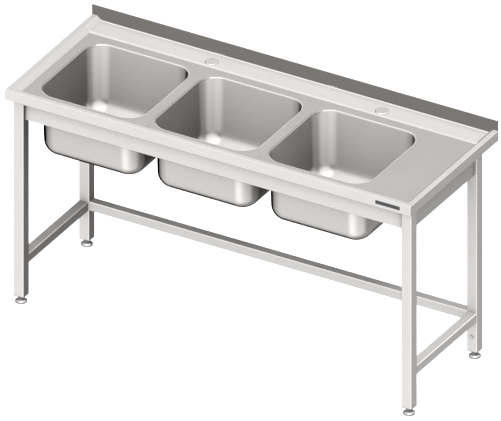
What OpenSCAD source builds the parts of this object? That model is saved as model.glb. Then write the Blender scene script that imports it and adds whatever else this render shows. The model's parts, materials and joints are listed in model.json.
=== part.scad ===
// Three compartment catering sink: a pressed stainless worktop with welded bowls, a plain strip
// at its right end and a low splashback, on an open tube frame with screw-adjustable feet.
// Millimetres, +Z up. The origin is on the floor at the centre of the footprint, with the front at -Y.

/* [Worktop] */
// Length of the worktop, left to right
top_length = 1600; // [1590:5:1700]
// Depth of the worktop, front to back
top_depth = 600; // [596:2:640]
// Height of the raised rim above the floor
rim_height = 850; // [820:5:900]
// Height of the splashback above the rim
splash_height = 40; // [20:5:100]
// Thickness of the doubled splashback sheet
splash_thickness = 3; // [2.5:0.5:4]
// Height of the folded skirt round the worktop
skirt_height = 40; // [34:1:50]
// Thickness of the worktop sheet
top_sheet = 1.5; // [1:0.1:2]
// Width of the flat raised rim
rim_width = 20; // [16:1:22]
// Depth of the pressed deck below the rim
deck_drop = 22; // [14:1:24]
// Run of the slope between the rim and the deck
bevel_run = 18; // [10:1:20]
// Depth of the raised tap ledge in front of the splashback
ledge_depth = 77; // [60:1:80]
// Height of the tap ledge above the deck
ledge_rise = 5; // [3:0.5:10]
// Width of the flange turned in under the skirt
skirt_return = 14; // [8:1:15]
// Radius of the outer folds and corners
fold_radius = 2.5; // [1:0.5:3]

/* [Bowls] */
// Side of each square bowl at the deck
bowl_size = 400; // [380:5:400]
// Depth of each bowl below the deck
bowl_depth = 250; // [200:5:300]
// Distance between neighbouring bowl centres
bowl_pitch = 447; // [445:1:450]
// Distance of the left bowl's centre from the left end
bowl_first = 280; // [279:1:282]
// Distance of the bowl centres behind the front edge
bowl_back = 272; // [271:1:274]
// Radius of the bowl's upright corners
bowl_corner = 70; // [66:1:80]
// Radius between the bowl's walls and its floor
bowl_fillet = 55; // [30:1:58]
// Radius of the rolled lip at the bowl's mouth
bowl_lip = 5; // [4:0.5:6]
// Thickness of the bowl sheet
bowl_sheet = 1.2; // [1:0.1:1.5]
// Lean of the bowl walls from upright, in degrees
bowl_draft = 1.5; // [0:0.5:2]

/* [Frame] */
// Side of the square leg tube
leg_size = 40; // [38:1:42]
// Distance of the legs in from the worktop's ends
leg_inset_side = 16; // [12:1:20]
// Distance of the front legs behind the front edge
leg_inset_front = 32; // [30:1:36]
// Distance of the rear legs in front of the back edge
leg_inset_back = 80; // [78:1:84]
// Wall of the leg tube
tube_wall = 1.5; // [1.2:0.1:2]
// Outer corner radius of the square tubes
tube_radius = 3; // [2:0.5:4]
// Side of the square brace tube
brace_size = 35; // [30:1:36]
// Height of the underside of the braces above the floor
brace_height = 147; // [120:1:300]
// Height of the lower edge of the aprons above the floor
apron_height = 725; // [700:5:760]
// Distance of the front apron behind the front legs' faces
apron_setback = 12; // [8:1:14]
// Distance of the side aprons behind the legs' outer faces
side_setback = 10; // [8:1:12]
// Width of the apron's turned-in flanges
apron_flange = 20; // [16:1:20]

/* [Feet] */
// Distance from the floor to the end of the leg plug
foot_height = 28; // [26:1:32]
// Diameter of the foot's base disc
pad_diameter = 42; // [36:1:46]
// Width of the hexagonal neck across its flats
hex_flats = 22; // [19:1:24]
// Downward adjustment of each foot
foot_travel = 24; // [10:1:25]

/* [Waste fittings] */
// Outer diameter of the waste's strainer flange
waste_flange_diameter = 85; // [80:1:88]
// Outer diameter of the outlet spigot
outlet_diameter = 40; // [38:1:42]
// Length of the outlet spigot
outlet_length = 30; // [20:5:80]

/* [Tap ledge] */
// Diameter of the caps that close the spare tap holes
cap_diameter = 46; // [42:1:50]
// Distance of the cap centres in front of the back edge
cap_inset = 58; // [56:1:60]

/* [Hidden] */
$fn = 64;

steel = "gainsboro";
dark_plastic = "dimgray";
rubber = "black";

// Worktop levels and lines
deck_z = rim_height - deck_drop;
ledge_z = deck_z + ledge_rise;
skirt_z = rim_height - skirt_height;
under_z = deck_z - top_sheet;
half_x = top_length / 2;
half_y = top_depth / 2;
splash_y = half_y - splash_thickness;
ledge_y = splash_y - ledge_depth;
ledge_slope_run = 7;
bevel_shift = top_sheet * tan(atan2(deck_drop, bevel_run) / 2);
slope_shift = top_sheet * tan(atan2(ledge_rise, ledge_slope_run) / 2);
over = 1;

// Bowl positions and levels
bowl_y = bowl_back - half_y;
bowl_floor = deck_z - bowl_depth;
bowl_half = bowl_size / 2 - bowl_corner;
bowl_x = [for (i = [0:2]) bowl_first - half_x + i * bowl_pitch];
bowl_wall_low = bowl_corner - tan(bowl_draft) * (bowl_depth - bowl_lip - bowl_fillet);

// Waste fitting, measured down from the bowl's floor
recess_depth = 4;
recess_radius = waste_flange_diameter / 2 + 2;
recess_z = bowl_floor - recess_depth;
waste_hole = 26;
flange_height = 2;
barrel_radius = 25;
barrel_bore = 22.5;
barrel_end = recess_z - 45;
gasket_top = recess_z - bowl_sheet;
gasket_height = 3;
locknut_height = 8;
collar_height = 3;
shoulder_height = 4;
shoulder_step = 2;
outlet_wall = 2.5;
nut_clearance = 0.05;

// Stiffeners
stiffener_lip = 6;
stiffener_depth = 25;
web_width = 30;
plain_width = 80;
plain_x = half_x - 130;

// Leg and foot positions and levels
leg_x = half_x - leg_inset_side - leg_size / 2;
leg_front = leg_inset_front + leg_size / 2 - half_y;
leg_rear = half_y - leg_inset_back - leg_size / 2;
leg_span_x = 2 * leg_x - leg_size;
leg_span_y = leg_rear - leg_front - leg_size;
leg_mid_y = (leg_rear + leg_front) / 2;
plug_cap = 2;
plug_depth = 25;
leg_z = foot_height + plug_cap;
stud_radius = 4.95;
thread_radius = 5;
journal_radius = 8;
journal_clearance = 0.05;
journal_z = 4;
neck_z = 11;

// Fixings
fixing_radius = 3;
fixing_hole = 3.2;
fixing_flats = 10;
washer_height = 1.5;
stud_x = [-half_x + 90, (bowl_x[0] + bowl_x[1]) / 2, (bowl_x[1] + bowl_x[2]) / 2, half_x - 90];
front_flange_y = leg_front - leg_size / 2 + apron_setback + apron_flange / 2;
rear_flange_y = leg_rear + leg_size / 2 - apron_setback - apron_flange / 2;
cap_y = half_y - cap_inset;
cap_x = [(bowl_x[0] + bowl_x[1]) / 2, bowl_x[2]];
cap_shank = 8;
cap_gasket_radius = 20.5;
cap_gasket_height = 3;
tap_hole = 17.5;
earth_z = 88;
plate_length = 96;
plate_height = 14;
plate_thickness = 0.5;
plate_corner = 2;
plate_x = half_x - 91;

// A drawing in the Y-Z plane, extruded along X about the middle
module along_x(length) {
    rotate([90, 0, 90])
        linear_extrude(length, center = true)
            children();
}

// A drawing in the X-Z plane, extruded along Y about the middle
module along_y(length) {
    rotate([90, 0, 0])
        linear_extrude(length, center = true)
            children();
}

module rounded_rect(width, height, radius) {
    square([width - 2 * radius, height], center = true);
    square([width, height - 2 * radius], center = true);
    for (x = [-1, 1], y = [-1, 1])
        translate([x * (width / 2 - radius), y * (height / 2 - radius)])
            circle(radius);
}

module tube_section(size) {
    difference() {
        rounded_rect(size, size, tube_radius);
        rounded_rect(size - 2 * tube_wall, size - 2 * tube_wall, tube_radius - tube_wall / 2);
    }
}

// A sheet folded into a channel that opens to +X in the drawing, with its back at x = 0
module channel_section(height, flange) {
    square([top_sheet, height]);
    square([flange, top_sheet]);
    translate([0, height - top_sheet])
        square([flange, top_sheet]);
}

// A top-hat section that hangs from y = 0
module hat_section(width, lip, depth) {
    for (side = [-1, 1])
        scale([side, 1]) {
            translate([width / 2 - lip, -top_sheet])
                square([lip, top_sheet]);
            translate([width / 2 - lip, -depth])
                square([top_sheet, depth]);
        }
    translate([lip - width / 2, -depth])
        square([width - 2 * lip, top_sheet]);
}

// The outline of the worktop's block in one direction, with round upper folds
module block_outline(width) {
    translate([-width / 2, skirt_z])
        square([width, skirt_height - fold_radius]);
    translate([fold_radius - width / 2, skirt_z])
        square([width - 2 * fold_radius, skirt_height]);
    for (side = [-1, 1])
        translate([side * (width / 2 - fold_radius), rim_height - fold_radius])
            circle(fold_radius);
}

// The open space above the pressed deck, seen from the front
module deck_space_across() {
    rim_in = half_x - rim_width;
    deck_in = rim_in - bevel_run;
    polygon([
        [-rim_in, rim_height + over],
        [-rim_in, rim_height],
        [-deck_in, deck_z],
        [deck_in, deck_z],
        [rim_in, rim_height],
        [rim_in, rim_height + over]
    ]);
}

// The open space above the deck and the tap ledge, seen from the side
module deck_space_deep() {
    rim_in = rim_width - half_y;
    polygon([
        [rim_in, rim_height + over],
        [rim_in, rim_height],
        [rim_in + bevel_run, deck_z],
        [ledge_y - ledge_slope_run, deck_z],
        [ledge_y, ledge_z],
        [splash_y, ledge_z],
        [splash_y, rim_height + over]
    ]);
}

// The hollow under the sheet, seen from the front
module under_space_across() {
    inner = half_x - top_sheet;
    rim_in = half_x - rim_width + bevel_shift;
    deck_in = rim_in - bevel_run;
    polygon([
        [-inner, skirt_z + top_sheet],
        [-inner, rim_height - top_sheet],
        [-rim_in, rim_height - top_sheet],
        [-deck_in, under_z],
        [deck_in, under_z],
        [rim_in, rim_height - top_sheet],
        [inner, rim_height - top_sheet],
        [inner, skirt_z + top_sheet]
    ]);
}

// The hollow under the sheet, seen from the side
module under_space_deep() {
    inner = half_y - top_sheet;
    rim_in = rim_width - half_y - bevel_shift;
    polygon([
        [-inner, skirt_z + top_sheet],
        [-inner, rim_height - top_sheet],
        [rim_in, rim_height - top_sheet],
        [rim_in + bevel_run, under_z],
        [ledge_y - ledge_slope_run + slope_shift, under_z],
        [ledge_y + slope_shift, ledge_z - top_sheet],
        [inner, ledge_z - top_sheet],
        [inner, skirt_z + top_sheet]
    ]);
}

module worktop_shell() {
    difference() {
        union() {
            intersection() {
                along_x(top_length) block_outline(top_depth);
                along_y(top_depth) block_outline(top_length);
            }
            translate([-half_x, splash_y, ledge_z])
                cube([top_length, splash_thickness, rim_height + splash_height - ledge_z]);
        }
        intersection() {
            along_x(top_length - 2 * over) deck_space_deep();
            along_y(top_depth + 2 * over) deck_space_across();
        }
        along_x(top_length - 2 * top_sheet) under_space_deep();
        along_y(top_depth - 2 * top_sheet) under_space_across();
        translate([skirt_return - half_x, skirt_return - half_y, skirt_z - over])
            cube([top_length - 2 * skirt_return, top_depth - 2 * skirt_return, top_sheet + 2 * over]);
    }
}

module worktop() {
    color(steel)
        difference() {
            worktop_shell();
            for (x = bowl_x)
                translate([x, bowl_y, under_z - over])
                    linear_extrude(top_sheet + 2 * over)
                        bowl_mouth();
            for (x = cap_x)
                translate([x, cap_y, ledge_z - top_sheet - over])
                    cylinder(h = top_sheet + 2 * over, r = tap_hole);
        }
}

// The outline where a bowl's rolled lip meets the deck
module bowl_mouth() {
    rounded_rect(bowl_size + 2 * bowl_lip, bowl_size + 2 * bowl_lip, bowl_corner + bowl_lip);
}

// The bowl's sheet from lip to floor, drawn outwards from the axis of an upright corner
module bowl_wall_section() {
    lip_centre = bowl_corner + bowl_lip;
    lip_foot = deck_z - bowl_lip;
    fillet_top = bowl_floor + bowl_fillet;
    fillet_centre = bowl_wall_low - bowl_fillet;
    intersection() {
        translate([lip_centre, lip_foot])
            difference() {
                circle(bowl_lip);
                circle(bowl_lip - bowl_sheet);
            }
        translate([bowl_corner, lip_foot])
            square([bowl_lip, bowl_lip]);
    }
    polygon([
        [bowl_corner, lip_foot],
        [bowl_corner + bowl_sheet, lip_foot],
        [bowl_wall_low + bowl_sheet, fillet_top],
        [bowl_wall_low, fillet_top]
    ]);
    intersection() {
        translate([fillet_centre, fillet_top])
            difference() {
                circle(bowl_fillet + bowl_sheet);
                circle(bowl_fillet);
            }
        translate([fillet_centre, bowl_floor - bowl_sheet])
            square(bowl_fillet + bowl_sheet);
    }
    translate([0, bowl_floor - bowl_sheet])
        square([fillet_centre, bowl_sheet]);
}

module bowl(index) {
    color(steel)
        translate([bowl_x[index], bowl_y, 0])
            difference() {
                union() {
                    for (turn = [0:3])
                        rotate([0, 0, 90 * turn]) {
                            translate([bowl_half, bowl_half, 0])
                                rotate_extrude(angle = 90)
                                    bowl_wall_section();
                            translate([bowl_half, 0, 0])
                                along_y(2 * bowl_half)
                                    bowl_wall_section();
                        }
                    translate([-bowl_half, -bowl_half, bowl_floor - bowl_sheet])
                        cube([2 * bowl_half, 2 * bowl_half, bowl_sheet]);
                    translate([0, 0, recess_z - bowl_sheet])
                        cylinder(h = recess_depth + bowl_sheet, r = recess_radius + bowl_sheet);
                }
                translate([0, 0, recess_z])
                    cylinder(h = recess_depth + over, r = recess_radius);
                translate([0, 0, recess_z - bowl_sheet - over])
                    cylinder(h = bowl_sheet + 2 * over, r = waste_hole);
            }
}

// A top-hat stiffener under the deck, between the front and rear members
module stiffener(x, width) {
    front = front_flange_y + apron_flange / 2;
    back = rear_flange_y - apron_flange / 2;
    color(steel)
        translate([x, (front + back) / 2, under_z])
            along_y(back - front)
                hat_section(width, stiffener_lip, stiffener_depth);
}

// A long folded member between two legs; side is 1 with its back to -Y and -1 with its back to +Y
module long_member(face_y, side, flange_y) {
    color(steel)
        difference() {
            translate([0, face_y, apron_height])
                scale([1, side, 1])
                    along_x(leg_span_x)
                        channel_section(under_z - apron_height, apron_flange);
            for (x = stud_x)
                translate([x, flange_y, under_z - top_sheet - over])
                    cylinder(h = top_sheet + 2 * over, r = fixing_hole);
        }
}

module apron_side(side) {
    color(steel)
        translate([side * (leg_x + leg_size / 2 - side_setback), leg_mid_y, apron_height])
            scale([-side, 1, 1])
                along_y(leg_span_y)
                    channel_section(under_z - apron_height, apron_flange);
}

module leg(side, y, bolt_hole) {
    color(steel)
        difference() {
            translate([side * leg_x, y, leg_z])
                linear_extrude(under_z - leg_z)
                    tube_section(leg_size);
            if (bolt_hole)
                translate([side * leg_x, y - leg_size / 2, earth_z])
                    rotate([90, 0, 0])
                        cylinder(h = 3 * tube_wall, r = fixing_hole, center = true);
        }
}

module brace_side(side) {
    color(steel)
        translate([side * leg_x, leg_mid_y, brace_height + brace_size / 2])
            along_y(leg_span_y)
                tube_section(brace_size);
}

module brace_rear() {
    color(steel)
        translate([0, leg_rear, brace_height + brace_size / 2])
            along_x(leg_span_x)
                tube_section(brace_size);
}

// A square plug pressed into the leg, with the thread for the levelling screw
module leg_plug(side, y) {
    inside = leg_size - 2 * tube_wall;
    color(dark_plastic)
        translate([side * leg_x, y, foot_height])
            difference() {
                union() {
                    linear_extrude(plug_cap)
                        rounded_rect(leg_size, leg_size, tube_radius);
                    linear_extrude(plug_cap + plug_depth)
                        rounded_rect(inside, inside, tube_radius - tube_wall / 2);
                }
                translate([0, 0, -over])
                    cylinder(h = plug_cap + plug_depth + 2 * over, r = thread_radius);
            }
}

// The base disc, with a round seat for the screw's end
module foot_pad(side, y) {
    seat = journal_radius + journal_clearance;
    edge = pad_diameter / 2;
    edge_height = 6;
    slope_run = 7;
    chamfer = 1;
    color(steel)
        translate([side * leg_x, y, 0])
            rotate_extrude()
                polygon([
                    [0, 0],
                    [edge - chamfer, 0],
                    [edge, chamfer],
                    [edge, edge_height],
                    [edge - slope_run, neck_z],
                    [seat, neck_z],
                    [seat, journal_z],
                    [0, journal_z]
                ]);
}

// The screw: a round end, a hexagonal neck for a spanner and a threaded stud
module foot_screw(side, y) {
    gap = 0.3;
    neck_base = neck_z + gap;
    stud_length = plug_cap + plug_depth + foot_travel;
    color(steel)
        translate([side * leg_x, y, 0]) {
            translate([0, 0, journal_z])
                cylinder(h = neck_base - journal_z, r = journal_radius);
            translate([0, 0, neck_base])
                cylinder(h = foot_height - neck_base, r = hex_flats / sqrt(3), $fn = 6);
            translate([0, 0, foot_height])
                cylinder(h = stud_length, r = stud_radius);
        }
}

// The strainer flange and its threaded barrel, with a step inside that carries the basket
module waste_flange(index) {
    step_height = 3;
    step_width = 3;
    color(steel)
        translate([bowl_x[index], bowl_y, 0])
            difference() {
                union() {
                    translate([0, 0, recess_z])
                        cylinder(h = flange_height, r = waste_flange_diameter / 2);
                    translate([0, 0, barrel_end])
                        cylinder(h = recess_z - barrel_end, r = barrel_radius);
                }
                translate([0, 0, barrel_end - over])
                    cylinder(h = recess_z - barrel_end + flange_height + 2 * over, r = barrel_bore - step_width);
                translate([0, 0, barrel_end + step_height])
                    cylinder(h = recess_z - barrel_end + flange_height, r = barrel_bore);
            }
}

// A lift-out basket with a flat rim, a drilled cup and a knob
module waste_basket(index) {
    rim_z = recess_z + flange_height;
    rim_radius = 30;
    cup_radius = 20;
    cup_height = 24;
    wall = 0.8;
    holes = 8;
    hole_radius = 2;
    floor_hole_ring = 12;
    stem_radius = 2.5;
    knob_radius = 6;
    knob_height = 5;
    color(steel)
        translate([bowl_x[index], bowl_y, 0]) {
            difference() {
                union() {
                    translate([0, 0, rim_z])
                        cylinder(h = wall, r = rim_radius);
                    translate([0, 0, rim_z - cup_height])
                        cylinder(h = cup_height, r = cup_radius);
                }
                translate([0, 0, rim_z - cup_height + wall])
                    cylinder(h = cup_height + over, r = cup_radius - wall);
                for (turn = [0:holes - 1])
                    rotate([0, 0, turn * 360 / holes]) {
                        translate([floor_hole_ring, 0, rim_z - cup_height - over])
                            cylinder(h = wall + 2 * over, r = hole_radius);
                        for (level = [6, 12, 18])
                            translate([cup_radius, 0, rim_z - level])
                                rotate([0, 90, 0])
                                    cylinder(h = 5 * wall, r = hole_radius, center = true);
                    }
            }
            translate([0, 0, rim_z - cup_height + wall])
                cylinder(h = cup_height - over, r = stem_radius);
            translate([0, 0, rim_z - over])
                cylinder(h = knob_height + over, r = knob_radius);
        }
}

module ring(z, height, inner, outer) {
    translate([0, 0, z])
        difference() {
            cylinder(h = height, r = outer);
            translate([0, 0, -over])
                cylinder(h = height + 2 * over, r = inner);
        }
}

module waste_gasket(index) {
    outer = 38;
    color(rubber)
        translate([bowl_x[index], bowl_y, 0])
            ring(gasket_top - gasket_height, gasket_height, barrel_radius + nut_clearance, outer);
}

// A round nut with grip lugs
module lug_nut(z, height, inner, outer) {
    lugs = 6;
    lug_width = 8;
    lug_length = 4;
    difference() {
        union() {
            translate([0, 0, z])
                cylinder(h = height, r = outer);
            for (turn = [0:lugs - 1])
                rotate([0, 0, turn * 360 / lugs])
                    translate([0, -lug_width / 2, z])
                        cube([outer + lug_length, lug_width, height]);
        }
        translate([0, 0, z - over])
            cylinder(h = height + 2 * over, r = inner);
    }
}

module waste_locknut(index) {
    top = gasket_top - gasket_height;
    outer = 34;
    color(steel)
        translate([bowl_x[index], bowl_y, 0])
            lug_nut(top - locknut_height, locknut_height, barrel_radius + nut_clearance, outer);
}

// The spigot that a drain hose or a waste pipe is pushed on to
module waste_outlet(index) {
    radius = outlet_diameter / 2;
    bore = radius - outlet_wall;
    shoulder_z = barrel_end - collar_height - shoulder_height;
    color(dark_plastic)
        translate([bowl_x[index], bowl_y, 0]) {
            ring(barrel_end - collar_height, collar_height, bore, barrel_radius);
            ring(shoulder_z, shoulder_height, bore, radius + shoulder_step);
            ring(shoulder_z - outlet_length, outlet_length, bore, radius);
        }
}

// The nut that holds the spigot's collar against the barrel
module outlet_nut(index) {
    height = 12;
    floor_thickness = 3;
    bore = outlet_diameter / 2 + shoulder_step + nut_clearance;
    outer = 30;
    low = barrel_end - collar_height - floor_thickness;
    color(dark_plastic)
        translate([bowl_x[index], bowl_y, 0])
            difference() {
                lug_nut(low, height, bore, outer);
                translate([0, 0, low + floor_thickness])
                    cylinder(h = height, r = barrel_radius + nut_clearance);
            }
}

// A disc with a sloping edge and a threaded shank
module tap_cap(index) {
    height = 3;
    edge = 1.5;
    shank_length = 30;
    color(steel)
        translate([cap_x[index], cap_y, ledge_z])
            rotate_extrude()
                polygon([
                    [0, -shank_length],
                    [cap_shank, -shank_length],
                    [cap_shank, 0],
                    [cap_diameter / 2, 0],
                    [cap_diameter / 2, height - edge],
                    [cap_diameter / 2 - edge, height],
                    [0, height]
                ]);
}

module tap_cap_gaskets() {
    color(rubber)
        for (x = cap_x)
            translate([x, cap_y, ledge_z - top_sheet])
                ring(-cap_gasket_height, cap_gasket_height, cap_shank + nut_clearance, cap_gasket_radius);
}

module hex_nut(flats, height, bore) {
    difference() {
        cylinder(h = height, r = flats / sqrt(3), $fn = 6);
        translate([0, 0, -over])
            cylinder(h = height + 2 * over, r = bore);
    }
}

module tap_cap_nuts() {
    flats = 24;
    height = 8;
    color(steel)
        for (x = cap_x)
            translate([x, cap_y, ledge_z - top_sheet - cap_gasket_height - height])
                hex_nut(flats, height, cap_shank + nut_clearance);
}

// Where the frame is fastened up to the worktop
module at_top_fixings() {
    for (x = stud_x, y = [front_flange_y, rear_flange_y])
        translate([x, y, under_z - top_sheet])
            children();
}

module top_studs() {
    length = 14;
    color(steel)
        at_top_fixings()
            translate([0, 0, top_sheet - length])
                cylinder(h = length, r = fixing_radius);
}

module top_stud_nuts() {
    height = 5;
    color(steel)
        at_top_fixings()
            translate([0, 0, -height])
                hex_nut(fixing_flats, height, fixing_radius + nut_clearance);
}

// Everything on the earth connection lies on one axis through the right rear leg's front wall
module at_earth_bolt() {
    translate([leg_x, leg_rear - leg_size / 2, earth_z])
        rotate([90, 0, 0])
            children();
}

module earth_bolt() {
    head_height = 4;
    head_radius = 5;
    length = 16;
    color(steel)
        at_earth_bolt() {
            translate([0, 0, washer_height])
                cylinder(h = head_height, r = head_radius);
            translate([0, 0, washer_height - length])
                cylinder(h = length, r = fixing_radius);
        }
}

// The washer outside the leg and the nut inside it
module earth_bolt_nuts() {
    nut_height = 5;
    washer_radius = 6.5;
    color(steel)
        at_earth_bolt() {
            ring(0, washer_height, fixing_radius + nut_clearance, washer_radius);
            translate([0, 0, -tube_wall - nut_height])
                hex_nut(fixing_flats, nut_height, fixing_radius + nut_clearance);
        }
}

// A blank plate on the front of the skirt
module nameplate() {
    color(steel)
        translate([plate_x, -half_y, (rim_height + skirt_z) / 2])
            rotate([90, 0, 0])
                linear_extrude(plate_thickness)
                    rounded_rect(plate_length, plate_height, plate_corner);
}

worktop();
bowl(0);  // bowl_left
bowl(1);  // bowl_middle
bowl(2);  // bowl_right
stiffener(stud_x[1], web_width);  // stiffener_left_web
stiffener(stud_x[2], web_width);  // stiffener_right_web
stiffener(plain_x, plain_width);  // stiffener_plain_end
long_member(front_flange_y - apron_flange / 2, 1, front_flange_y);  // apron_front
long_member(rear_flange_y + apron_flange / 2, -1, rear_flange_y);  // rail_rear
apron_side(-1);  // apron_left
apron_side(1);  // apron_right
leg(-1, leg_front, false);  // leg_front_left
leg(1, leg_front, false);  // leg_front_right
leg(-1, leg_rear, false);  // leg_rear_left
leg(1, leg_rear, true);  // leg_rear_right
brace_side(-1);  // brace_left
brace_side(1);  // brace_right
brace_rear();
leg_plug(-1, leg_front);  // leg_plug_front_left
leg_plug(1, leg_front);  // leg_plug_front_right
leg_plug(-1, leg_rear);  // leg_plug_rear_left
leg_plug(1, leg_rear);  // leg_plug_rear_right
foot_pad(-1, leg_front);  // foot_pad_front_left
foot_pad(1, leg_front);  // foot_pad_front_right
foot_pad(-1, leg_rear);  // foot_pad_rear_left
foot_pad(1, leg_rear);  // foot_pad_rear_right
foot_screw(-1, leg_front);  // foot_screw_front_left
foot_screw(1, leg_front);  // foot_screw_front_right
foot_screw(-1, leg_rear);  // foot_screw_rear_left
foot_screw(1, leg_rear);  // foot_screw_rear_right
waste_flange(0);  // waste_flange_left
waste_flange(1);  // waste_flange_middle
waste_flange(2);  // waste_flange_right
waste_basket(0);  // waste_basket_left
waste_basket(1);  // waste_basket_middle
waste_basket(2);  // waste_basket_right
waste_gasket(0);  // waste_gasket_left
waste_gasket(1);  // waste_gasket_middle
waste_gasket(2);  // waste_gasket_right
waste_locknut(0);  // waste_locknut_left
waste_locknut(1);  // waste_locknut_middle
waste_locknut(2);  // waste_locknut_right
waste_outlet(0);  // waste_outlet_left
waste_outlet(1);  // waste_outlet_middle
waste_outlet(2);  // waste_outlet_right
outlet_nut(0);  // outlet_nut_left
outlet_nut(1);  // outlet_nut_middle
outlet_nut(2);  // outlet_nut_right
tap_cap(0);  // tap_cap_left
tap_cap(1);  // tap_cap_right
tap_cap_gaskets();
tap_cap_nuts();
top_studs();
top_stud_nuts();
earth_bolt();
earth_bolt_nuts();
nameplate();
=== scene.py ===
"""Three compartment catering sink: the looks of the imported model.

Metres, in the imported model's frame: +X along the worktop, -Y the front, +Z up from the floor.
"""
import json
import math

import bmesh
import bpy
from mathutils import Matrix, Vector

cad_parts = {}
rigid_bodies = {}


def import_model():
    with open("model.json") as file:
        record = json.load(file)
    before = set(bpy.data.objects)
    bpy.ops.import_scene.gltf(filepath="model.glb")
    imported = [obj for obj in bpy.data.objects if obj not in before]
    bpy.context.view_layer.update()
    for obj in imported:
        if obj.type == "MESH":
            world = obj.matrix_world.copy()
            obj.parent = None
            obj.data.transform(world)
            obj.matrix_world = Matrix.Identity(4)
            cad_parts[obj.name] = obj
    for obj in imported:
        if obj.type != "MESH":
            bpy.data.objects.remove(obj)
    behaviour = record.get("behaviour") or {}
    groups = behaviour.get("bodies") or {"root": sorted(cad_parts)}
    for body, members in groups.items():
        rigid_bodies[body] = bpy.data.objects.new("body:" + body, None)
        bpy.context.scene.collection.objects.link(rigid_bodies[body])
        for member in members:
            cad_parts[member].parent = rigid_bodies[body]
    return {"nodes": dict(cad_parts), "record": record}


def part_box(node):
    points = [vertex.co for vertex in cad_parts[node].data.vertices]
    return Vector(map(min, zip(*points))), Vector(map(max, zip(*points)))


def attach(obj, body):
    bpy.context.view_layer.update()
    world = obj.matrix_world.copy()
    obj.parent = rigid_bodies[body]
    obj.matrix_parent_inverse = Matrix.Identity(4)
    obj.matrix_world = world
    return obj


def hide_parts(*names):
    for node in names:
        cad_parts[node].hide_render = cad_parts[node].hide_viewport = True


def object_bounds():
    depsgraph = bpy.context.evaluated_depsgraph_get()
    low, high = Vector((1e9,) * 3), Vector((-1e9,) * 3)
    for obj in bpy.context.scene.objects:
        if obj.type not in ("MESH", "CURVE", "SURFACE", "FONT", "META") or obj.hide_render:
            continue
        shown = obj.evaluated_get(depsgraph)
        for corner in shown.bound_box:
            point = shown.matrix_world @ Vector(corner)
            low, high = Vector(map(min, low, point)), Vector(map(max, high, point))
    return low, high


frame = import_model()
cad_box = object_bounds()

# ------------------------------------------------------------------ sizes
SIDES = ("left", "middle", "right")

# Worktop: upright sizes, then its sheet and folds
SKIRT = 0.040
RIM = 0.020
BEVEL_RUN = 0.018
STEP_RUN = 0.007
LEDGE = 0.077
CAP_RISE = 0.003
SHEET = 0.0015
SPLASH = 0.003
SPLASH_SHEET = 0.0012
RETURN = 0.014
RETURN_LIP = 0.004
FOLD = 0.0025
SOFT_FOLD = 0.0035
TIGHT_FOLD = 0.0018
# Height above the deck of the right bevel's foot, which gets a dark painted shade line
FOOT_SHADE_BAND = 0.0015
END_GAP = 0.0002

# Bowls
LIP = 0.005
# How far down a bowl's lip its painted highlight reaches
LIP_HIGHLIGHT_BAND = 0.2 * LIP
BOWL_SHEET = 0.0012
BOWL_CORNER = 0.070
BOWL_FILLET = 0.055
BOWL_DRAFT = math.radians(1.5)
BOWL_FALL = 0.0012
RECESS = 0.004
RECESS_RADIUS = 0.0445
RECESS_LEDGE = 0.006
DRAIN_RADIUS = 0.026

# Frame
CHANNEL_FOLD = 0.002
TUBE_CORNER = 0.003
WELD = 0.0009

TOP_LO, TOP_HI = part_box("worktop")
BOWL_BOXES = [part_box("bowl_" + side) for side in SIDES]
SKIRT_Z = TOP_LO.z
RIM_Z = SKIRT_Z + SKIRT
DECK_X = TOP_HI.x - RIM - BEVEL_RUN
DECK_Z = BOWL_BOXES[0][1].z
LEDGE_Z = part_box("tap_cap_left")[1].z - CAP_RISE
SPLASH_Y = TOP_HI.y - SPLASH
LEDGE_Y = SPLASH_Y - LEDGE
BOWL_FLOOR = BOWL_BOXES[0][0].z + RECESS + BOWL_SHEET


# ------------------------------------------------------------------ materials
def node_tree(name):
    """A new material with its principled shader, ready for more nodes."""
    material = bpy.data.materials.new(name)
    material.use_nodes = True
    tree = material.node_tree
    return material, tree, tree.nodes["Principled BSDF"]


def place_noise(tree, coordinate, scale, noise_scale, detail, roughness=0.5):
    """Noise on stretched coordinates; coordinate is Object or UV, both in metres."""
    where = tree.nodes.new("ShaderNodeTexCoord")
    mapping = tree.nodes.new("ShaderNodeMapping")
    mapping.inputs["Scale"].default_value = scale
    tree.links.new(where.outputs[coordinate], mapping.inputs["Vector"])
    noise = tree.nodes.new("ShaderNodeTexNoise")
    noise.inputs["Scale"].default_value = noise_scale
    noise.inputs["Detail"].default_value = detail
    noise.inputs["Roughness"].default_value = roughness
    tree.links.new(mapping.outputs["Vector"], noise.inputs["Vector"])
    return noise.outputs["Fac"]


def remap(tree, value, low, high, start=0.3, end=0.7):
    """A value that runs from start to end, spread from low to high and held there beyond."""
    spread = tree.nodes.new("ShaderNodeMapRange")
    spread.inputs["From Min"].default_value = start
    spread.inputs["From Max"].default_value = end
    spread.inputs["To Min"].default_value = low
    spread.inputs["To Max"].default_value = high
    tree.links.new(value, spread.inputs["Value"])
    return spread.outputs["Result"]


def math_node(tree, operation, first, second):
    """One math step on two values, each a socket or a number."""
    step = tree.nodes.new("ShaderNodeMath")
    step.operation = operation
    for socket, value in zip(step.inputs, (first, second)):
        if isinstance(value, (int, float)):
            socket.default_value = value
        else:
            tree.links.new(value, socket)
    return step.outputs["Value"]


def tinted(tree, colour, factor):
    """colour multiplied by a grey factor."""
    mix = tree.nodes.new("ShaderNodeMix")
    mix.data_type = "RGBA"
    mix.blend_type = "MULTIPLY"
    mix.inputs["Factor"].default_value = 1.0
    mix.inputs["A"].default_value = (*colour, 1.0)
    tree.links.new(factor, mix.inputs["B"])
    return mix.outputs["Result"]


def bumped(tree, shader, height, distance, strength):
    """Bump on the shader's normal."""
    bump = tree.nodes.new("ShaderNodeBump")
    bump.inputs["Strength"].default_value = strength
    bump.inputs["Distance"].default_value = distance
    tree.links.new(height, bump.inputs["Height"])
    tree.links.new(bump.outputs["Normal"], shader.inputs["Normal"])


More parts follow.
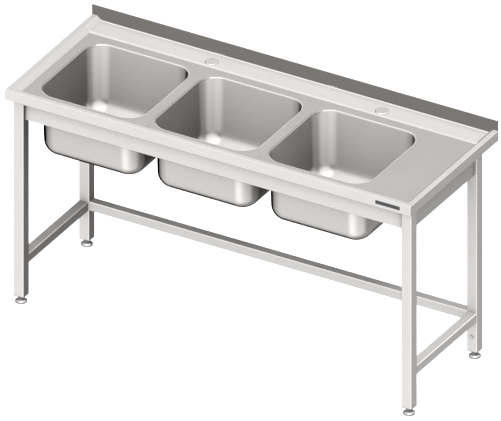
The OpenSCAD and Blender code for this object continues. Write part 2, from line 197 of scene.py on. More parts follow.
def contact_shade(tree, reach, darkest, start=0.25):
    """Painted shade: the colour is darker where other metal stands close by, as in a corner or under an edge.
    """
    shade = tree.nodes.new("ShaderNodeAmbientOcclusion")
    shade.samples = 8
    shade.inputs["Distance"].default_value = reach
    return remap(tree, shade.outputs["AO"], darkest, 1.0, start, 0.95)


def surface_parts(tree, output, unsigned=False):
    """X, Y and Z of the surface's Normal or Object coordinates, without their signs if unsigned."""
    surface = tree.nodes.new("ShaderNodeTexCoord").outputs[output]
    if unsigned:
        size = tree.nodes.new("ShaderNodeVectorMath")
        size.operation = "ABSOLUTE"
        tree.links.new(surface, size.inputs[0])
        surface = size.outputs["Vector"]
    parts = tree.nodes.new("ShaderNodeSeparateXYZ")
    tree.links.new(surface, parts.inputs["Vector"])
    return parts.outputs


def bowl_painted_light(tree):
    """Painted light and shade: a bowl's floor and side walls are painted brighter than its front and rear
    walls, and all are painted darker low down.
    """
    facing = surface_parts(tree, "Normal", unsigned=True)
    sideways = remap(tree, facing["X"], 1.0, 1.55, 0.3, 1.0)
    upward = remap(tree, facing["Z"], 1.0, 1.62, 0.2, 0.7)
    place = surface_parts(tree, "Object")
    # Painted shade: darker towards the floor
    height = remap(tree, place["Z"], 0.82, 1.12, BOWL_FLOOR + BOWL_FILLET, DECK_Z)
    return math_node(tree, "MULTIPLY", math_node(tree, "MAXIMUM", sideways, upward), height)


def corner_highlight_mask(tree):
    """Where a tube's painted highlight goes: one on the round corners of a square tube or channel and nought
    on its flats.
    """
    facing = surface_parts(tree, "Normal", unsigned=True)
    widest = math_node(tree, "MAXIMUM", facing["X"], facing["Y"])
    widest = math_node(tree, "MAXIMUM", widest, facing["Z"])
    return remap(tree, widest, 1.0, 0.0, 0.76, 0.96)


def brushed_steel(
    name,
    colour,
    roughness,
    grain,
    coordinate="Object",
    shade=(0.06, 0.62),
    folds=0.0,
    painted_gain=None,
    metallic=1.0,
):
    """Satin stainless: fine streaks and soft clouds of polish.

    shade goes to contact_shade for its painted shade, folds is how much brighter the round corners of a tube
    are painted, a painted highlight, and painted_gain makes a further factor on the colour, of painted light
    and shade.
    """
    tone = 0.04
    material, tree, shader = node_tree(name)
    streaks = place_noise(tree, coordinate, grain, 1.0, 5, 0.6)
    clouds = place_noise(tree, coordinate, (1, 1, 1), 4.0, 4, 0.55)
    value = math_node(
        tree,
        "MULTIPLY",
        remap(tree, streaks, 1 - tone, 1 + 0.5 * tone),
        remap(tree, clouds, 1 - 0.6 * tone, 1 + 0.4 * tone),
    )
    # Painted shade near other metal
    value = math_node(tree, "MULTIPLY", value, contact_shade(tree, *shade))
    # Painted highlight on the round corners of a tube
    if folds:
        brighter = math_node(tree, "MULTIPLY", corner_highlight_mask(tree), folds)
        value = math_node(tree, "MULTIPLY", value, math_node(tree, "ADD", brighter, 1.0))
    # Further painted light and shade
    if painted_gain:
        value = math_node(tree, "MULTIPLY", value, painted_gain(tree))
    tree.links.new(tinted(tree, colour, value), shader.inputs["Base Color"])
    fine_rough = remap(tree, streaks, roughness - 0.04, roughness + 0.05)
    cloud_rough = remap(tree, clouds, 0.9, 1.12)
    tree.links.new(math_node(tree, "MULTIPLY", fine_rough, cloud_rough), shader.inputs["Roughness"])
    shader.inputs["Metallic"].default_value = metallic
    bumped(tree, shader, streaks, 0.00003, 0.2)
    return material


def polished_metal(name, colour, roughness, shade=(0.02, 0.4), sides=1.0):
    """Turned or plated metal with faint handling marks, and painted shade near other metal; sides is how
    bright its upright faces are painted, a painted shade below one.
    """
    material, tree, shader = node_tree(name)
    marks = place_noise(tree, "Object", (1, 1, 1), 160.0, 5, 0.6)
    dull = place_noise(tree, "Object", (1, 1, 1), 35.0, 3)
    value = math_node(tree, "MULTIPLY", remap(tree, dull, 0.88, 1.03), contact_shade(tree, *shade))
    # Painted shade on the upright faces, set by sides
    upward = surface_parts(tree, "Normal")["Z"]
    value = math_node(tree, "MULTIPLY", value, remap(tree, upward, sides, 1.0, 0.3, 0.9))
    tree.links.new(tinted(tree, colour, value), shader.inputs["Base Color"])
    tree.links.new(remap(tree, marks, roughness - 0.06, roughness + 0.10), shader.inputs["Roughness"])
    shader.inputs["Metallic"].default_value = 1.0
    bumped(tree, shader, marks, 0.00006, 0.25)
    return material


def moulded(name, colour, roughness):
    """Moulded plastic or rubber with a fine grain and dusty patches."""
    material, tree, shader = node_tree(name)
    grain = place_noise(tree, "Object", (1, 1, 1), 900.0, 3)
    dust = place_noise(tree, "Object", (1, 1, 1), 60.0, 4)
    tree.links.new(tinted(tree, colour, remap(tree, dust, 0.8, 1.15)), shader.inputs["Base Color"])
    tree.links.new(remap(tree, dust, roughness - 0.08, roughness + 0.12), shader.inputs["Roughness"])
    bumped(tree, shader, grain, 0.00008, 0.4)
    return material


# Streaks per metre across the grain, and few along it
FINE, LONG = 1800.0, 10.0
ALONG_X = (LONG, FINE, FINE)
ALONG_Y = (FINE, LONG, FINE)
ALONG_Z = (FINE, FINE, LONG)

STEEL = (0.765, 0.752, 0.746)


def worktop_finishes():
    """The pressed worktop's steel, brushed along X: its grain lies in the UVs. Its copies carry painted light
    and shade: the ledge is painted lighter than the rims; the deck, the splashback, the crease and the left
    of the bowls' lip darker; the folds and the bowls' lip line get a painted highlight.
    """
    near = (0.02, 0.9)
    finishes = {
        "worktop": (STEEL, 0.30, (0.03, 0.7)),
        "rim": ((0.755, 0.742, 0.736), 0.30, (0.03, 0.7)),
        # Painted light: the ledge lighter than the rims
        "ledge": ((0.805, 0.792, 0.785), 0.30, (0.03, 0.7)),
        # Painted shade: the deck, the bevels and the step darker than the rims
        "deck": ((0.525, 0.52, 0.515), 0.34, (0.02, 0.85)),
        # Painted shade: the splashback's front very dark
        "splash": ((0.19, 0.180, 0.172), 0.30, near),
        # Painted highlight on the folds
        "fold": ((0.68, 0.675, 0.665), 0.24, near),
        # Painted shade on the left of the bowls' lip
        "lip_shade": ((0.34, 0.337, 0.333), 0.3, near),
    }
    made = {
        name + "_steel": brushed_steel(name.replace("_", " ") + " steel", colour, rough, ALONG_X, "UV", shade)
        for name, (colour, rough, shade) in finishes.items()
    }
    # Painted shade: the dark line at the right bevel's foot
    made["crease_shade_steel"] = brushed_steel(
        "crease shade steel", (0.16, 0.158, 0.155), 0.34, ALONG_Y, "UV", (0.02, 0.85)
    )
    # Painted highlight: the bright line along the bowls' lip
    made["lip_steel"] = brushed_steel(
        "lip steel", (0.60, 0.596, 0.591), 0.3, ALONG_X, "UV", near, metallic=0.2
    )
    return made


def bowl_finishes():
    """The bowls inside and outside, two copies of one steel in painted shade: the inside darker, with painted
    light and shade by facing and height, the outside darker than the rest of the steel and much darker near
    other metal.
    """
    return {
        # Painted light and shade inside the bowls
        "bowl_steel": brushed_steel(
            "bowl steel", (0.425, 0.408, 0.402), 0.30, ALONG_X, "UV", (0.2, 0.75), painted_gain=bowl_painted_light
        ),
        # Painted shade on the bowls' outside
        "shaded_bowl_back_steel": brushed_steel(
            "shaded bowl back steel", (0.635, 0.620, 0.607), 0.25, ALONG_X, "UV", (0.2, 0.1)
        ),
    }


def frame_finishes():
    """Aprons, legs, braces and stiffeners, each brushed along its length, with painted shade near other metal
    and painted highlights on the round corners of aprons, legs and braces.
    """
    apron_shade = (0.10, 0.1, 0.5)
    brace_shade = (0.9, 0.7, 0.2)
    return {
        "apron_steel": brushed_steel("apron steel", STEEL, 0.31, ALONG_X, "UV", apron_shade, 0.15),
        # Painted shade: the side aprons darker than the front one
        "shaded_side_apron_steel": brushed_steel(
            "shaded side apron steel", (0.66, 0.65, 0.645), 0.31, ALONG_Y, "UV", apron_shade, 0.15
        ),
        "stiffener_steel": brushed_steel("stiffener steel", (0.62, 0.62, 0.61), 0.42, ALONG_Y),
        # Painted shade: the legs darker towards the worktop above them
        "leg_steel": brushed_steel(
            "leg steel", STEEL, 0.30, ALONG_Z, shade=(1.1, 0.15, 0.2), folds=0.25
        ),
        # Painted shade: the rear brace darker than the side braces
        "brace_steel": brushed_steel(
            "brace steel", (0.66, 0.652, 0.644), 0.31, ALONG_X, shade=brace_shade, folds=0.3
        ),
        # Painted light: the side braces lighter than the rear one
        "lit_side_brace_steel": brushed_steel(
            "lit side brace steel", (0.80, 0.787, 0.78), 0.31, ALONG_Y, shade=brace_shade, folds=0.2
        ),
    }


def fitting_finishes():
    """Caps, feet, wastes, fasteners, the plate, and the plastic and rubber parts."""
    return {
        "cap_steel": brushed_steel("cap steel", (0.66, 0.65, 0.64), 0.32, (500.0, 500.0, 500.0)),
        "plate_metal": brushed_steel("plate metal", (0.10, 0.10, 0.105), 0.40, ALONG_X),
        # The feet's upright faces get painted shade
        "foot_steel": polished_metal("foot metal", (0.56, 0.55, 0.55), 0.26, (0.03, 0.3), 0.5),
        "waste_steel": polished_metal("waste metal", (0.76, 0.76, 0.75), 0.18),
        "fastener_steel": polished_metal("fastener metal", (0.60, 0.60, 0.59), 0.35),
        "locknut_brass": polished_metal("locknut brass", (0.72, 0.56, 0.30), 0.34),
        "plug_plastic": moulded("plug plastic", (0.030, 0.030, 0.032), 0.45),
        "waste_plastic": moulded("waste plastic", (0.78, 0.78, 0.75), 0.42),
        "seal_rubber": moulded("seal rubber", (0.022, 0.022, 0.022), 0.65),
    }


MATERIALS = {**worktop_finishes(), **bowl_finishes(), **frame_finishes(), **fitting_finishes()}
SLOTS = {part["node"]: part["material_slot"] for part in frame["record"]["subparts"]}


def dress_cad_nodes():
    """Every CAD node gets its slot's material; the braces that run front to back get a lighter copy of it,
    painted light.
    """
    for node, piece in frame["nodes"].items():
        material = MATERIALS[SLOTS[node]]
        if node in ("brace_left", "brace_right"):
            material = MATERIALS["lit_side_brace_steel"]
        piece.data.materials.clear()
        piece.data.materials.append(material)


# ------------------------------------------------------------------ shapes
# A face with an edge shorter than this is part of a fold
FOLD_STEP = 0.0012
# Two heights closer than this are the same
FLAT = 0.00001
# Points closer than this are one point
SAME = 1e-6
# Edges between faces that turn by more than this stay sharp
SHARP = math.radians(40)
# A top face whose normal leans more to the side than this is on a bevel
LEANING = 0.2
# A splashback face whose normal points less to the front than this is on its top or rear
FRONTAL = -0.5
# A sheet piece's material slots: faces, folds with their painted highlight, the deck with its painted shade,
# then three for its back, then its extra ones
FACES, FOLDS, DECK, BACK, EXTRA = 0, 1, 2, 3, 6


def fillet_path(points, radii, steps=6):
    """A polyline through 2D points, each inner corner rounded to its radius."""
    path = [Vector(points[0])]
    for before, corner, after, radius in zip(points, points[1:], points[2:], radii):
        before, corner, after = Vector(before), Vector(corner), Vector(after)
        back, ahead = (before - corner).normalized(), (after - corner).normalized()
        half = back.angle(ahead) / 2
        centre = corner + (back + ahead).normalized() * radius / math.sin(half)
        start = (corner + back * radius / math.tan(half) - centre).normalized()
        end = (corner + ahead * radius / math.tan(half) - centre).normalized()
        for i in range(steps + 1):
            path.append(centre + start.slerp(end, i / steps) * radius)
    path.append(Vector(points[-1]))
    return path


def add_piece(name, builder, slot, thickness, finish=None, deck=None, back=None, fold="fold_steel", extra=()):
    """A sheet piece on the table from a bmesh: folds in their painted highlight, faces at the deck's height
    in the deck's painted shade, thickness behind its faces.

    finish, deck, back, fold and extra name materials; slot stands in for the ones not given.
    """
    mesh = bpy.data.meshes.new(name)
    builder.to_mesh(mesh)
    builder.free()
    back = back or finish or slot
    for material in (finish or slot, fold, deck or slot, back, back, back, *extra):
        mesh.materials.append(MATERIALS[material])
    for face in mesh.polygons:
        face.use_smooth = True
        corners = [mesh.vertices[i].co for i in face.vertices]
        shortest = min((a - b).length for a, b in zip(corners, corners[1:] + corners[:1]))
        if shortest < FOLD_STEP:
            face.material_index = FOLDS
        elif deck and all(abs(corner.z - DECK_Z) < FLAT for corner in corners):
            face.material_index = DECK
    mesh.set_sharp_from_angle(angle=SHARP)
    piece = bpy.data.objects.new(name, mesh)
    bpy.context.scene.collection.objects.link(piece)
    solid = piece.modifiers.new("sheet", "SOLIDIFY")
    solid.thickness = thickness
    solid.offset = -1.0
    solid.use_even_offset = True
    solid.material_offset = BACK
    normals = piece.modifiers.new("normals", "WEIGHTED_NORMAL")
    normals.keep_sharp = True
    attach(piece, "table")
    return piece


def uv_face(builder, vertices, uvs):
    """A face with a UV in metres at each corner."""
    layer = builder.loops.layers.uv.verify()
    face = builder.faces.new(vertices)
    for loop, uv in zip(face.loops, uvs):
        loop[layer].uv = uv


def path_lengths(path):
    """How far along the path each of its points lies."""
    lengths = [0.0]
    for a, b in zip(path, path[1:]):
        lengths.append(lengths[-1] + (b - a).length)
    return lengths


def loft(builder, rows, closed, across):
    """Faces between rows of points; across is each row's distance down the surface."""
    made = [[builder.verts.new(point) for point in row] for row in rows]
    count = len(rows[0])
    for k in range(len(rows) - 1):
        along = path_lengths([Vector(p) for p in rows[k]] + [Vector(rows[k][0])])
        for i in range(count if closed else count - 1):
            j = (i + 1) % count
            uv_face(
                builder,
                (made[k][i], made[k][j], made[k + 1][j], made[k + 1][i]),
                (
                    (along[i], across[k]),
                    (along[i + 1], across[k]),
                    (along[i + 1], across[k + 1]),
                    (along[i], across[k + 1]),
                ),
            )


def folded_sheet(name, path, place, ends, slot, thickness, flip=False, finish=None):
    """A folded sheet: a 2D path carried between two ends; place(a, b, t) gives each point."""
    builder = bmesh.new()
    rows = [[place(p.x, p.y, t) for t in ends] for p in path]
    if flip:
        rows = [list(reversed(row)) for row in rows]
    loft(builder, rows, False, path_lengths(path))
    return add_piece(name, builder, slot, thickness, finish)


def along_x(a, b, t):
    """A section drawn in Y and Z, carried along X."""
    return (t, a, b)


def along_y(a, b, t):
    """A section drawn in X and Z, carried along Y."""
    return (a, t, b)


# ------------------------------------------------------------------ worktop
CORNER_STEPS = 16


def top_section_across():
    """The worktop's upper surface from left to right, as (x, z)."""
    points = [
        (TOP_LO.x + FOLD, RIM_Z),
        (TOP_LO.x + RIM, RIM_Z),
        (TOP_LO.x + RIM + BEVEL_RUN, DECK_Z),
        (DECK_X, DECK_Z),
        (TOP_HI.x - RIM, RIM_Z),
        (TOP_HI.x - FOLD, RIM_Z),
    ]
    return fillet_path(points, [SOFT_FOLD] * 4)


def top_section_deep():
    """The worktop's upper surface from front to back, as (y, z), turned up into the splashback."""
    points = [
        (TOP_LO.y + FOLD, RIM_Z),
        (TOP_LO.y + RIM, RIM_Z),
        (TOP_LO.y + RIM + BEVEL_RUN, DECK_Z),
        (LEDGE_Y - STEP_RUN, DECK_Z),
        (LEDGE_Y, LEDGE_Z),
        (SPLASH_Y, LEDGE_Z),
        (SPLASH_Y, LEDGE_Z + 2 * SOFT_FOLD),
    ]
    return fillet_path(points, [SOFT_FOLD] * 5)


def with_lines(section, lines):
    """The section with extra points on the deck, so that the bowls' edges fall on grid lines."""
    extra = [Vector((line, DECK_Z)) for line in lines]
    return sorted(list(section) + extra, key=lambda p: p.x)


def in_mouth(x, y):
    """The bowl box that holds a point, if any."""
    for low, high in BOWL_BOXES:
        if low.x < x < high.x and low.y < y < high.y:
            return low, high
    return None


def mouth_corner(builder, low, high, side_x, side_y):
    """The deck between a bowl's square outline and its round corner."""
    radius = BOWL_CORNER + LIP
    corner = Vector((high.x if side_x > 0 else low.x, high.y if side_y > 0 else low.y, DECK_Z))
    centre = corner - Vector((side_x * radius, side_y * radius, 0))
    arc = []
    for i in range(CORNER_STEPS + 1):
        turn = math.pi / 2 * i / CORNER_STEPS
        arc.append(centre + Vector((side_x * math.cos(turn), side_y * math.sin(turn), 0)) * radius)
    if side_x * side_y < 0:
        arc.reverse()
    tip = builder.verts.new(corner)
    rim = [builder.verts.new(point) for point in arc]
    for a, b in zip(rim, rim[1:]):
        uv_face(builder, (tip, b, a), (tip.co.xy, b.co.xy, a.co.xy))


def split_face(builder, ring):
    """Four points as one face if they are flat, or else as two triangles from the lowest point."""
    heights = [v.co.z for v in ring]
    if abs(heights[0] + heights[2] - heights[1] - heights[3]) < 0.1 * SAME:
        uv_face(builder, ring, [v.co.xy for v in ring])
        return
    first = heights.index(min(heights))
    ring = ring[first:] + ring[:first]
    for corners in ((0, 1, 2), (0, 2, 3)):
        uv_face(builder, [ring[k] for k in corners], [ring[k].co.xy for k in corners])


def finish_top(piece):
    """Painted light and shade: the bevels and the step up to the ledge get the deck's painted shade, the
    right bevel's foot a dark painted shade line, and the ledge between the rims its painted light.
    """
    for face in piece.data.polygons:
        inside = abs(face.center.x) < DECK_X
        on_step = LEDGE_Y - STEP_RUN - SOFT_FOLD < face.center.y < LEDGE_Y + SOFT_FOLD
        at_foot = DECK_Z + FLAT < face.center.z < DECK_Z + FOOT_SHADE_BAND
        on_ledge = face.center.y > LEDGE_Y + SOFT_FOLD and face.material_index == FACES
        if on_step and inside:
            face.material_index = DECK
        elif face.normal.x < 0 and at_foot:
            face.material_index = EXTRA
        elif abs(face.normal.x) > LEANING:
            face.material_index = DECK
        elif on_ledge and inside:
            face.material_index = EXTRA + 1


def worktop_top():
    """The pressed upper surface, with the bowls' mouths left open."""
    across = with_lines(top_section_across(), [v for box in BOWL_BOXES for v in (box[0].x, box[1].x)])
    deep = with_lines(top_section_deep(), [BOWL_BOXES[0][0].y, BOWL_BOXES[0][1].y])
    builder = bmesh.new()
    grid = [
        [builder.verts.new((p.x, q.x, max(p.y, q.y))) for q in deep]
        for p in across
    ]
    for i in range(len(across) - 1):
        for j in range(len(deep) - 1):
            middle = ((across[i].x + across[i + 1].x) / 2, (deep[j].x + deep[j + 1].x) / 2)
            if in_mouth(*middle):
                continue
            ring = [grid[i][j], grid[i + 1][j], grid[i + 1][j + 1], grid[i][j + 1]]
            if (ring[0].co - ring[2].co).length > SAME:
                split_face(builder, ring)
    for low, high in BOWL_BOXES:
        for side_x in (-1, 1):
            for side_y in (-1, 1):
                mouth_corner(builder, low, high, side_x, side_y)
    bmesh.ops.remove_doubles(builder, verts=builder.verts, dist=SAME)
    piece = add_piece(
        "worktop_top",
        builder,
        "worktop_steel",
        SHEET,
        "rim_steel",
        "deck_steel",
        extra=("crease_shade_steel", "ledge_steel"),
    )
    finish_top(piece)
    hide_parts("worktop")


def skirt_row(inset, z):
    """The outline of the skirt's left, front and right sides, drawn in by inset."""
    sharpest = 0.0003
    corner = max(FOLD - inset, sharpest)
    left, right, front, rear = TOP_LO.x + inset, TOP_HI.x - inset, TOP_LO.y + inset, TOP_HI.y - END_GAP
    row = [Vector((left, rear, z))]
    for centre_x, first in ((left + corner, 180), (right - corner, 270)):
        centre = Vector((centre_x, front + corner, z))
        for i in range(7):
            turn = math.radians(first + 15 * i)
            row.append(centre + corner * Vector((math.cos(turn), math.sin(turn), 0)))
    row.append(Vector((right, rear, z)))
    return row


def worktop_skirt():
    """The folded-down edge with its turned-in flange."""
    lip_fold = 0.001
    points = [
        (FOLD, RIM_Z),
        (0.0, RIM_Z),
        (0.0, SKIRT_Z),
        (RETURN, SKIRT_Z),
        (RETURN, SKIRT_Z + RETURN_LIP),
    ]
    path = fillet_path(points, [FOLD, TIGHT_FOLD, lip_fold])[1:]
    builder = bmesh.new()
    rows = [list(reversed(skirt_row(p.x, p.y))) for p in path]
    loft(builder, rows, False, path_lengths(path))
    add_piece("worktop_skirt", builder, "worktop_steel", SHEET)


def splashback():
    """The doubled splashback and the rear skirt below it, one folded sheet."""
    hem = 0.98 * SPLASH / 2
    tuck = 0.002
    points = [
        (SPLASH_Y, DECK_Z - tuck),
        (SPLASH_Y, TOP_HI.z),
        (TOP_HI.y, TOP_HI.z),
        (TOP_HI.y, SKIRT_Z),
        (TOP_HI.y - RETURN, SKIRT_Z),
    ]
    path = fillet_path(points, [hem, hem, TIGHT_FOLD])
    ends = (TOP_LO.x, TOP_HI.x)
    piece = folded_sheet(
        "splashback", path, along_x, ends, "worktop_steel", SPLASH_SHEET, finish="splash_steel"
    )
    # Painted shade: the front is painted very dark, the top and rear get the deck's painted shade
    for face in piece.data.polygons:
        if face.normal.y > FRONTAL:
            face.material_index = DECK


# ------------------------------------------------------------------ bowls
def square_ring(centre, reach, radius, z):
    """A square outline with round corners; reach is from the centre to a corner's axis."""
    ring = []
    for quarter in range(4):
        turn = math.pi / 2 * quarter
        sign_x = 1 if quarter in (0, 3) else -1
        sign_y = 1 if quarter in (0, 1) else -1
        axis = Vector((centre.x + sign_x * reach, centre.y + sign_y * reach, z))
        for i in range(CORNER_STEPS + 1):
            angle = turn + math.pi / 2 * i / CORNER_STEPS
            ring.append(axis + radius * Vector((math.cos(angle), math.sin(angle), 0)))
    return ring


def round_ring(centre, radius, z):
    """A circle with as many points as a square ring, and in step with it."""
    count = 4 * (CORNER_STEPS + 1)
    ring = []
    for i in range(count):
        quarter, step = divmod(i, CORNER_STEPS + 1)
        angle = math.pi / 2 * (quarter + (step + 0.5) / (CORNER_STEPS + 1))
        ring.append(Vector((centre.x + radius * math.cos(angle), centre.y + radius * math.sin(angle), z)))
    return ring


def bowl_section():
    """A bowl's wall from the lip to the flat floor, as (corner radius, height)."""
    lip_steps, fillet_steps = 6, 14
    fillet_top = BOWL_FLOOR + BOWL_FILLET
    wall_low = BOWL_CORNER - math.tan(BOWL_DRAFT) * (DECK_Z - LIP - fillet_top)
    path = []
    for i in range(lip_steps + 1):
        turn = math.pi / 2 * i / lip_steps
        path.append((BOWL_CORNER + LIP - LIP * math.sin(turn), DECK_Z - LIP + LIP * math.cos(turn)))
    path.append((wall_low, fillet_top))
    for i in range(1, fillet_steps + 1):
        turn = math.pi / 2 * i / fillet_steps
        radius = wall_low - BOWL_FILLET * (1 - math.cos(turn))
        path.append((radius, fillet_top - BOWL_FILLET * math.sin(turn)))
    return path


def floor_rows(centre, edge):
    """The floor that falls from its edge to the drain, and the recess round the drain."""
    steps = 8
    # Down the recess's wall: distance outside its radius, and depth below the floor
    wall = ((0.003, 0.0014), (0.001, 0.0024), (0.0, 0.0036), (-0.003, RECESS))
    inner = round_ring(centre, RECESS_RADIUS + RECESS_LEDGE, BOWL_FLOOR)
    rows = []
    for i in range(1, steps + 1):
        share = i / steps
        row = [a.lerp(b, share) for a, b in zip(edge, inner)]
        for point in row:
            point.z -= BOWL_FALL * share * share
        rows.append(row)
    for outward, drop in wall:
        rows.append(round_ring(centre, RECESS_RADIUS + outward, BOWL_FLOOR - drop))
    rows.append(round_ring(centre, DRAIN_RADIUS, BOWL_FLOOR - RECESS))
    return rows


def finish_bowl(piece):
    """The lip's line gets a painted highlight except on the left, where it gets painted shade, the rest of
    the lip gets the deck's painted shade, and no face below the lip counts as a fold.
    """
    for face in piece.data.polygons:
        if face.center.z > DECK_Z - LIP and face.normal.x > abs(face.normal.y):
            face.material_index = EXTRA
        elif face.center.z > DECK_Z - LIP_HIGHLIGHT_BAND:
            face.material_index = FOLDS
        elif face.center.z > DECK_Z - LIP:
            face.material_index = DECK
        elif face.center.z > BOWL_FLOOR - BOWL_FALL:
            face.material_index = FACES


def bowl(side):
    """A pressed bowl: rolled lip, leaning walls, a wide fillet and a floor that falls to the drain."""
    low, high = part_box("bowl_" + side)
    centre = (low + high) / 2
    reach = (high.x - low.x) / 2 - BOWL_CORNER - LIP
    section = bowl_section()
    rows = [square_ring(centre, reach, radius, z) for radius, z in section]
    rows += floor_rows(centre, square_ring(centre, reach, section[-1][0], BOWL_FLOOR))
    across = path_lengths([row[0] for row in rows])
    builder = bmesh.new()
    loft(builder, rows, True, across)
    # Its lip line gets a painted highlight, the left of its lip and its outside painted shade, the rest of
    # its lip the deck's painted shade
    piece = add_piece(
        "bowl_shell_" + side,
        builder,
        "bowl_steel",
        BOWL_SHEET,
        deck="deck_steel",
        back="shaded_bowl_back_steel",
        fold="lip_steel",
        extra=("lip_shade_steel",),
    )
    finish_bowl(piece)
    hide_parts("bowl_" + side)


# ------------------------------------------------------------------ aprons and rails
def channel(node, place, wall, tip, ends, z, flip, finish=None):
    """A folded channel: its wall, with a flange at its top and bottom that reaches to tip."""
    low_z, high_z = z
    points = [(tip, high_z), (wall, high_z), (wall, low_z), (tip, low_z)]
    path = fillet_path(points, [CHANNEL_FOLD, CHANNEL_FOLD])
    piece = folded_sheet(node + "_sheet", path, place, ends, "apron_steel", SHEET, flip, finish)
    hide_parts(node)


def aprons():
    """The folded members between the legs."""
    low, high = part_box("apron_front")
    channel("apron_front", along_x, low.y, high.y, (low.x, high.x), (low.z, high.z), True)
    low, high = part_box("rail_rear")
    channel("rail_rear", along_x, high.y, low.y, (low.x, high.x), (low.z, high.z), False)
    # The side aprons get a darker copy of the steel, painted shade
    finish = "shaded_side_apron_steel"
    low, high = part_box("apron_left")
    channel("apron_left", along_y, low.x, high.x, (low.y, high.y), (low.z, high.z), False, finish)
    low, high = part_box("apron_right")
    channel("apron_right", along_y, high.x, low.x, (low.y, high.y), (low.z, high.z), True, finish)


# ------------------------------------------------------------------ welds
def weld_ring(name, centre, size, axis):
    """A ground weld bead round a square tube's end, lying on the leg it meets."""
    half, corner = size / 2, TUBE_CORNER
    outline = []
    for quarter in range(4):
        sign_a = 1 if quarter in (0, 3) else -1
        sign_b = 1 if quarter in (0, 1) else -1
        for i in range(5):
            turn = math.pi / 2 * (quarter + i / 4)
            outline.append((
                sign_a * (half - corner) + corner * math.cos(turn),
                sign_b * (half - corner) + corner * math.sin(turn),
            ))
    curve = bpy.data.curves.new(name, "CURVE")
    curve.dimensions = "3D"
    curve.bevel_depth = WELD
    curve.bevel_resolution = 2
    spline = curve.splines.new("POLY")
    spline.points.add(len(outline) - 1)
    spline.use_cyclic_u = True
    for point, (a, b) in zip(spline.points, outline):
        offset = (0, a, b) if axis == "x" else (a, 0, b)
        point.co = (*(Vector(centre) + Vector(offset)), 1.0)
    curve.materials.append(MATERIALS["fastener_steel"])
    piece = bpy.data.objects.new(name, curve)
    bpy.context.scene.collection.objects.link(piece)
    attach(piece, "table")


def brace_welds():
    """A bead at each end of each brace."""
    for node, axis in (("brace_left", "y"), ("brace_right", "y"), ("brace_rear", "x")):
        low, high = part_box(node)
        middle = (low + high) / 2
        size = high.z - low.z
        if axis == "y":
            ends = [(middle.x, low.y, middle.z), (middle.x, high.y, middle.z)]
        else:
            ends = [(low.x, middle.y, middle.z), (high.x, middle.y, middle.z)]
        for number, end in enumerate(ends):
            weld_ring(f"weld_{node}_{number}", end, size, axis)


# ------------------------------------------------------------------ stage
# Low enough for a foot that is wound right out
FLOOR_Z = -0.030
PALE = (0.9, 0.9, 0.9, 1)
WHITE = (1, 1, 1, 1)


def build_floor():
    """A plain pale floor."""
    mesh = bpy.data.meshes.new("floor")
    reach = 9.0
    outline = ((-reach, -reach), (reach, -reach), (reach, reach), (-reach, reach))
    mesh.from_pydata([(x, y, FLOOR_Z) for x, y in outline], [], [(0, 1, 2, 3)])
    material, _, shader = node_tree("pale floor")
    shader.inputs["Base Color"].default_value = PALE
    shader.inputs["Roughness"].default_value = 0.9
    shader.inputs["Emission Color"].default_value = WHITE
    shader.inputs["Emission Strength"].default_value = 0.60
    mesh.materials.append(material)
    floor = bpy.data.objects.new("floor", mesh)
    floor.visible_glossy = False
    floor.visible_shadow = False
    bpy.context.scene.collection.objects.link(floor)


def build_cove():
    """The studio's pale wall, seen by the camera only."""
    reach, height, bend, low = 8.5, 9.0, 1.0, FLOOR_Z + 0.001
    sides = 64
    turns = [2 * math.pi * i / sides for i in range(sides)]
    outline = fillet_path([(reach - 2 * bend, low), (reach, low), (reach, height)], [bend], 10)
    builder = bmesh.new()
    rows = [[(p.x * math.cos(turn), p.x * math.sin(turn), p.y) for turn in turns] for p in outline]
    loft(builder, rows, True, path_lengths(outline))
    mesh = bpy.data.meshes.new("cove")
    builder.to_mesh(mesh)
    builder.free()
    material, _, shader = node_tree("pale wall")
    shader.inputs["Base Color"].default_value = PALE
    shader.inputs["Emission Color"].default_value = WHITE
    shader.inputs["Emission Strength"].default_value = 0.80
    mesh.materials.append(material)
    cove = bpy.data.objects.new("cove", mesh)
    cove.visible_diffuse = False
    cove.visible_shadow = False
    bpy.context.scene.collection.objects.link(cove)


# Soft lights and two dim patches of the studio: direction from the table, the half-angles in degrees
# within which each is full and beyond which it is gone, and how much it adds to the even light
LIGHTS = (
    ((-0.43, -0.75, -0.50), 28, 62, 0.60),
    ((0.08, 0.87, 0.48), 42, 66, 0.50),
    ((-0.43, -0.35, 0.83), 27, 48, 1.15),
    ((0.50, -0.70, -0.50), 30, 50, 0.66),
    ((0.52, -0.38, 0.76), 26, 50, 1.70),
    ((0.10, 0.10, 0.98), 14, 40, 0.30),
    ((0.55, 0.72, 0.42), 16, 36, 0.60),
    ((-0.43, 0.60, -0.65), 26, 44, -0.42),
    ((-0.93, 0.05, -0.35), 20, 56, -0.33),
)
AMBIENT = 0.45


def build_studio():
    """Even light all round, with the broad soft lights and dim patches of LIGHTS in it."""
    world = bpy.data.worlds.new("studio")
    world.use_nodes = True
    tree = world.node_tree
    where = tree.nodes.new("ShaderNodeTexCoord")
    total = AMBIENT
    for direction, full, outer, strength in LIGHTS:
        towards = tree.nodes.new("ShaderNodeVectorMath")
        towards.operation = "DOT_PRODUCT"
        tree.links.new(where.outputs["Generated"], towards.inputs[0])
        towards.inputs[1].default_value = Vector(direction).normalized()
        lobe = tree.nodes.new("ShaderNodeMapRange")
        lobe.interpolation_type = "SMOOTHSTEP"
        lobe.inputs["From Min"].default_value = math.cos(math.radians(outer))
        lobe.inputs["From Max"].default_value = math.cos(math.radians(full))
        lobe.inputs["To Min"].default_value = 0.0
        lobe.inputs["To Max"].default_value = strength
        tree.links.new(towards.outputs["Value"], lobe.inputs["Value"])
        total = math_node(tree, "ADD", lobe.outputs["Result"], total)
    tree.links.new(total, tree.nodes["Background"].inputs["Strength"])
    tree.nodes["Background"].inputs["Color"].default_value = (1.0, 0.995, 0.985, 1)
    bpy.context.scene.world = world


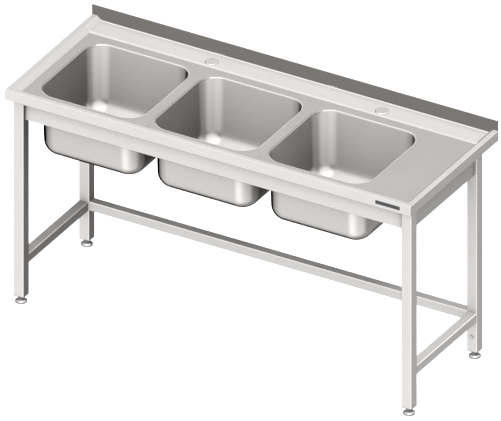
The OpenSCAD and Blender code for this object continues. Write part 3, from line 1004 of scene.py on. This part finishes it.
def dark_card():
    """A matt flag behind the table, seen only in reflections, for the faces turned from the light."""
    mesh = bpy.data.meshes.new("dark_card")
    behind = 1.0
    left, right, bottom = -2.2, 1.05, -1.4
    top = [(right, 0.35), (0.25, 0.60), (-0.25, 0.92), (-1.0, 0.98), (-1.3, 1.15), (left, 1.15)]
    outline = [(left, bottom), (right, bottom), *top]
    mesh.from_pydata([(x, behind, z) for x, z in outline], [], [tuple(range(len(outline)))])
    material, _, shader = node_tree("matt black")
    shader.inputs["Base Color"].default_value = (0.02, 0.02, 0.02, 1)
    shader.inputs["Roughness"].default_value = 1.0
    shader.inputs["Specular IOR Level"].default_value = 0.0
    shader.inputs["Emission Color"].default_value = (1, 0.97, 0.94, 1)
    shader.inputs["Emission Strength"].default_value = 0.14
    mesh.materials.append(material)
    card = bpy.data.objects.new("dark_card", mesh)
    card.visible_camera = False
    card.visible_diffuse = False
    card.visible_shadow = False
    bpy.context.scene.collection.objects.link(card)


def area_light(name, place, target, size, power):
    """A soft square light that looks at target and shows in no reflection."""
    data = bpy.data.lights.new(name, "AREA")
    data.size = size
    data.energy = power
    light = bpy.data.objects.new(name, data)
    light.location = place
    light.rotation_mode = "QUATERNION"
    light.visible_glossy = False
    light.rotation_quaternion = (Vector(target) - Vector(place)).to_track_quat("-Z", "Y")
    bpy.context.scene.collection.objects.link(light)


def build_camera():
    """A parallel view from 30 degrees to the right of the front and 30 degrees up."""
    turn, rise = math.radians(30), math.radians(30)
    back = Vector((math.sin(turn) * math.cos(rise), -math.cos(turn) * math.cos(rise), math.sin(rise)))
    right = Vector((math.cos(turn), math.sin(turn), 0))
    up = back.cross(right)
    middle = (cad_box[0] + cad_box[1]) / 2
    # The picture's width, and where the camera stands from the table's middle
    width, aside, above, away = 1.709, -0.0033, 0.0083, 6.0
    data = bpy.data.cameras.new("camera")
    data.type = "ORTHO"
    data.ortho_scale = width
    data.clip_end = 50
    camera = bpy.data.objects.new("camera", data)
    camera.location = middle + aside * right + above * up + away * back
    camera.rotation_mode = "QUATERNION"
    camera.rotation_quaternion = (-back).to_track_quat("-Z", "Y")
    bpy.context.scene.collection.objects.link(camera)
    bpy.context.scene.camera = camera


# ------------------------------------------------------------------ build
build_camera()
dress_cad_nodes()

worktop_top()
worktop_skirt()
splashback()
for side in SIDES:
    bowl(side)
aprons()
brace_welds()

build_floor()
build_cove()
build_studio()
dark_card()
area_light("overhead", (-0.6, 0.2, 4.5), (0, 0, 0.5), 2.5, 25)
bpy.context.scene.view_settings.view_transform = "Standard"

# The photographed steel shows no mirror images of its neighbours, only the studio
for piece in bpy.context.scene.objects:
    if piece.type in ("MESH", "CURVE") and piece.name != "dark_card":
        piece.visible_glossy = False
